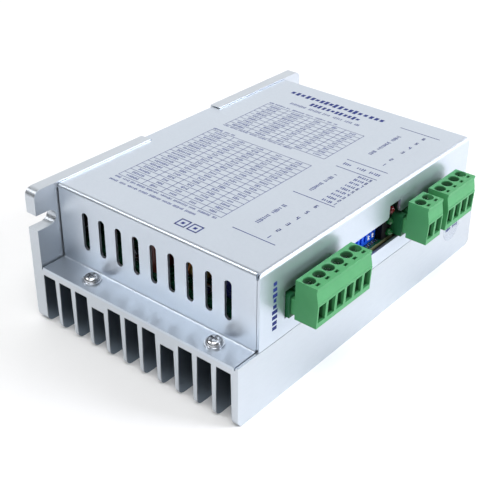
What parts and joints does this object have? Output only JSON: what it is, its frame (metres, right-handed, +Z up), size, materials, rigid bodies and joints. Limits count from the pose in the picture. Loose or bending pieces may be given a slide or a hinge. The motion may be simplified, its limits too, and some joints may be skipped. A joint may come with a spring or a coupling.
{
  "type": "stepper driver module",
  "caption": "Finned aluminium drive module with a slotted rear mounting flange, folded sheet cover, end vents, pull-off screw-terminal plugs, setting switches and indicator lamps.",
  "frame": {"origin": "middle of the bounding box, at the level of the fin tips that the module stands on", "axes": "+X along the extrusion, the connector side faces -Y and the mounting flange is at +Y, +Z up away from the fins"},
  "size_m": [0.151, 0.1084, 0.054],
  "materials": {
    "extruded_aluminium": "bead-blasted, clear anodised",
    "sheet_aluminium": "bead-blasted, clear anodised",
    "plated_screw": "bright zinc plated",
    "board_green": "solder-masked glass fibre",
    "post_metal": "turned",
    "header_green": "moulded",
    "plug_green": "moulded",
    "tinned_pin": "tin plated",
    "switch_blue": "moulded",
    "slider_white": "moulded",
    "lamp_black": "moulded",
    "lens_green": "tinted epoxy",
    "lens_red": "tinted epoxy",
    "sleeve_blue": "shrink sleeve",
    "film_red": "dipped",
    "choke_core": "lacquered powder core",
    "package_black": "moulded",
    "clamp_steel": "plated"
  },
  "bodies": {
    "case": {"heat_sink": "extruded_aluminium", "cover": "sheet_aluminium", "cover_screws": "plated_screw", "rear_screws": "plated_screw", "circuit_board": "board_green", "board_posts": "post_metal", "board_screws": "plated_screw", "header_six": "header_green", "header_two": "header_green", "header_four": "header_green", "header_pins": "tinned_pin", "switch_bank": "switch_blue", "lamp_holder": "lamp_black", "lamps_green": "lens_green", "lamp_red": "lens_red", "bulk_capacitors": "sleeve_blue", "film_capacitor": "film_red", "choke": "choke_core", "power_transistors": "package_black", "rectifier": "package_black", "power_screws": "plated_screw"},
    "slider_1": {"slider_1": "slider_white"},
    "slider_2": {"slider_2": "slider_white"},
    "slider_3": {"slider_3": "slider_white"},
    "slider_4": {"slider_4": "slider_white"},
    "slider_5": {"slider_5": "slider_white"},
    "slider_6": {"slider_6": "slider_white"},
    "slider_7": {"slider_7": "slider_white"},
    "slider_8": {"slider_8": "slider_white"},
    "slider_9": {"slider_9": "slider_white"},
    "plug_six": {"plug_six": "plug_green", "contacts_six": "tinned_pin"},
    "terminal_screw_six_1": {"terminal_screw_six_1": "plated_screw"},
    "clamp_six_1": {"clamp_six_1": "clamp_steel"},
    "terminal_screw_six_2": {"terminal_screw_six_2": "plated_screw"},
    "clamp_six_2": {"clamp_six_2": "clamp_steel"},
    "terminal_screw_six_3": {"terminal_screw_six_3": "plated_screw"},
    "clamp_six_3": {"clamp_six_3": "clamp_steel"},
    "terminal_screw_six_4": {"terminal_screw_six_4": "plated_screw"},
    "clamp_six_4": {"clamp_six_4": "clamp_steel"},
    "terminal_screw_six_5": {"terminal_screw_six_5": "plated_screw"},
    "clamp_six_5": {"clamp_six_5": "clamp_steel"},
    "terminal_screw_six_6": {"terminal_screw_six_6": "plated_screw"},
    "clamp_six_6": {"clamp_six_6": "clamp_steel"},
    "plug_two": {"plug_two": "plug_green", "contacts_two": "tinned_pin"},
    "terminal_screw_two_1": {"terminal_screw_two_1": "plated_screw"},
    "clamp_two_1": {"clamp_two_1": "clamp_steel"},
    "terminal_screw_two_2": {"terminal_screw_two_2": "plated_screw"},
    "clamp_two_2": {"clamp_two_2": "clamp_steel"},
    "plug_four": {"plug_four": "plug_green", "contacts_four": "tinned_pin"},
    "terminal_screw_four_1": {"terminal_screw_four_1": "plated_screw"},
    "clamp_four_1": {"clamp_four_1": "clamp_steel"},
    "terminal_screw_four_2": {"terminal_screw_four_2": "plated_screw"},
    "clamp_four_2": {"clamp_four_2": "clamp_steel"},
    "terminal_screw_four_3": {"terminal_screw_four_3": "plated_screw"},
    "clamp_four_3": {"clamp_four_3": "clamp_steel"},
    "terminal_screw_four_4": {"terminal_screw_four_4": "plated_screw"},
    "clamp_four_4": {"clamp_four_4": "clamp_steel"}
  },
  "joints": [
    {"name": "slider_1_slide", "type": "slide", "parent": "case", "child": "slider_1", "axis": [0, 0, 1], "range_m": [-0.0036, 0]},
    {"name": "slider_2_slide", "type": "slide", "parent": "case", "child": "slider_2", "axis": [0, 0, 1], "range_m": [-0.0036, 0]},
    {"name": "slider_3_slide", "type": "slide", "parent": "case", "child": "slider_3", "axis": [0, 0, 1], "range_m": [-0.0036, 0]},
    {"name": "slider_4_slide", "type": "slide", "parent": "case", "child": "slider_4", "axis": [0, 0, 1], "range_m": [-0.0036, 0]},
    {"name": "slider_5_slide", "type": "slide", "parent": "case", "child": "slider_5", "axis": [0, 0, 1], "range_m": [-0.0036, 0]},
    {"name": "slider_6_slide", "type": "slide", "parent": "case", "child": "slider_6", "axis": [0, 0, 1], "range_m": [-0.0036, 0]},
    {"name": "slider_7_slide", "type": "slide", "parent": "case", "child": "slider_7", "axis": [0, 0, 1], "range_m": [-0.0036, 0]},
    {"name": "slider_8_slide", "type": "slide", "parent": "case", "child": "slider_8", "axis": [0, 0, 1], "range_m": [0, 0.0036]},
    {"name": "slider_9_slide", "type": "slide", "parent": "case", "child": "slider_9", "axis": [0, 0, 1], "range_m": [0, 0.0036]},
    {"name": "plug_six_pull", "type": "slide", "parent": "case", "child": "plug_six", "axis": [0, -1, 0], "range_m": [0, 0.012]},
    {"name": "screw_six_1_turn", "type": "hinge", "parent": "plug_six", "child": "terminal_screw_six_1", "pos_m": [-0.0482, -0.0485, 0.043], "axis": [0, 0, -1], "range_deg": [0, 1801]},
    {"name": "clamp_six_1_lift", "type": "slide", "parent": "plug_six", "child": "clamp_six_1", "axis": [0, 0, 1], "range_m": [0, 0.00225]},
    {"name": "screw_six_2_turn", "type": "hinge", "parent": "plug_six", "child": "terminal_screw_six_2", "pos_m": [-0.04312, -0.0485, 0.043], "axis": [0, 0, -1], "range_deg": [0, 1801]},
    {"name": "clamp_six_2_lift", "type": "slide", "parent": "plug_six", "child": "clamp_six_2", "axis": [0, 0, 1], "range_m": [0, 0.00225]},
    {"name": "screw_six_3_turn", "type": "hinge", "parent": "plug_six", "child": "terminal_screw_six_3", "pos_m": [-0.03804, -0.0485, 0.043], "axis": [0, 0, -1], "range_deg": [0, 1801]},
    {"name": "clamp_six_3_lift", "type": "slide", "parent": "plug_six", "child": "clamp_six_3", "axis": [0, 0, 1], "range_m": [0, 0.00225]},
    {"name": "screw_six_4_turn", "type": "hinge", "parent": "plug_six", "child": "terminal_screw_six_4", "pos_m": [-0.03296, -0.0485, 0.043], "axis": [0, 0, -1], "range_deg": [0, 1801]},
    {"name": "clamp_six_4_lift", "type": "slide", "parent": "plug_six", "child": "clamp_six_4", "axis": [0, 0, 1], "range_m": [0, 0.00225]},
    {"name": "screw_six_5_turn", "type": "hinge", "parent": "plug_six", "child": "terminal_screw_six_5", "pos_m": [-0.02788, -0.0485, 0.043], "axis": [0, 0, -1], "range_deg": [0, 1801]},
    {"name": "clamp_six_5_lift", "type": "slide", "parent": "plug_six", "child": "clamp_six_5", "axis": [0, 0, 1], "range_m": [0, 0.00225]},
    {"name": "screw_six_6_turn", "type": "hinge", "parent": "plug_six", "child": "terminal_screw_six_6", "pos_m": [-0.0228, -0.0485, 0.043], "axis": [0, 0, -1], "range_deg": [0, 1801]},
    {"name": "clamp_six_6_lift", "type": "slide", "parent": "plug_six", "child": "clamp_six_6", "axis": [0, 0, 1], "range_m": [0, 0.00225]},
    {"name": "plug_two_pull", "type": "slide", "parent": "case", "child": "plug_two", "axis": [0, -1, 0], "range_m": [0, 0.012]},
    {"name": "screw_two_1_turn", "type": "hinge", "parent": "plug_two", "child": "terminal_screw_two_1", "pos_m": [0.01886, -0.0485, 0.043], "axis": [0, 0, -1], "range_deg": [0, 1801]},
    {"name": "clamp_two_1_lift", "type": "slide", "parent": "plug_two", "child": "clamp_two_1", "axis": [0, 0, 1], "range_m": [0, 0.00225]},
    {"name": "screw_two_2_turn", "type": "hinge", "parent": "plug_two", "child": "terminal_screw_two_2", "pos_m": [0.02394, -0.0485, 0.043], "axis": [0, 0, -1], "range_deg": [0, 1801]},
    {"name": "clamp_two_2_lift", "type": "slide", "parent": "plug_two", "child": "clamp_two_2", "axis": [0, 0, 1], "range_m": [0, 0.00225]},
    {"name": "plug_four_pull", "type": "slide", "parent": "case", "child": "plug_four", "axis": [0, -1, 0], "range_m": [0, 0.012]},
    {"name": "screw_four_1_turn", "type": "hinge", "parent": "plug_four", "child": "terminal_screw_four_1", "pos_m": [0.03278, -0.0485, 0.043], "axis": [0, 0, -1], "range_deg": [0, 1801]},
    {"name": "clamp_four_1_lift", "type": "slide", "parent": "plug_four", "child": "clamp_four_1", "axis": [0, 0, 1], "range_m": [0, 0.00225]},
    {"name": "screw_four_2_turn", "type": "hinge", "parent": "plug_four", "child": "terminal_screw_four_2", "pos_m": [0.03786, -0.0485, 0.043], "axis": [0, 0, -1], "range_deg": [0, 1801]},
    {"name": "clamp_four_2_lift", "type": "slide", "parent": "plug_four", "child": "clamp_four_2", "axis": [0, 0, 1], "range_m": [0, 0.00225]},
    {"name": "screw_four_3_turn", "type": "hinge", "parent": "plug_four", "child": "terminal_screw_four_3", "pos_m": [0.04294, -0.0485, 0.043], "axis": [0, 0, -1], "range_deg": [0, 1801]},
    {"name": "clamp_four_3_lift", "type": "slide", "parent": "plug_four", "child": "clamp_four_3", "axis": [0, 0, 1], "range_m": [0, 0.00225]},
    {"name": "screw_four_4_turn", "type": "hinge", "parent": "plug_four", "child": "terminal_screw_four_4", "pos_m": [0.04802, -0.0485, 0.043], "axis": [0, 0, -1], "range_deg": [0, 1801]},
    {"name": "clamp_four_4_lift", "type": "slide", "parent": "plug_four", "child": "clamp_four_4", "axis": [0, 0, 1], "range_m": [0, 0.00225]}
  ],
  "couplings": [
    {"joint": "screw_six_1_turn", "follows": "clamp_six_1_lift", "rad_per_m": 13963},
    {"joint": "screw_six_2_turn", "follows": "clamp_six_2_lift", "rad_per_m": 13963},
    {"joint": "screw_six_3_turn", "follows": "clamp_six_3_lift", "rad_per_m": 13963},
    {"joint": "screw_six_4_turn", "follows": "clamp_six_4_lift", "rad_per_m": 13963},
    {"joint": "screw_six_5_turn", "follows": "clamp_six_5_lift", "rad_per_m": 13963},
    {"joint": "screw_six_6_turn", "follows": "clamp_six_6_lift", "rad_per_m": 13963},
    {"joint": "screw_two_1_turn", "follows": "clamp_two_1_lift", "rad_per_m": 13963},
    {"joint": "screw_two_2_turn", "follows": "clamp_two_2_lift", "rad_per_m": 13963},
    {"joint": "screw_four_1_turn", "follows": "clamp_four_1_lift", "rad_per_m": 13963},
    {"joint": "screw_four_2_turn", "follows": "clamp_four_2_lift", "rad_per_m": 13963},
    {"joint": "screw_four_3_turn", "follows": "clamp_four_3_lift", "rad_per_m": 13963},
    {"joint": "screw_four_4_turn", "follows": "clamp_four_4_lift", "rad_per_m": 13963}
  ]
}
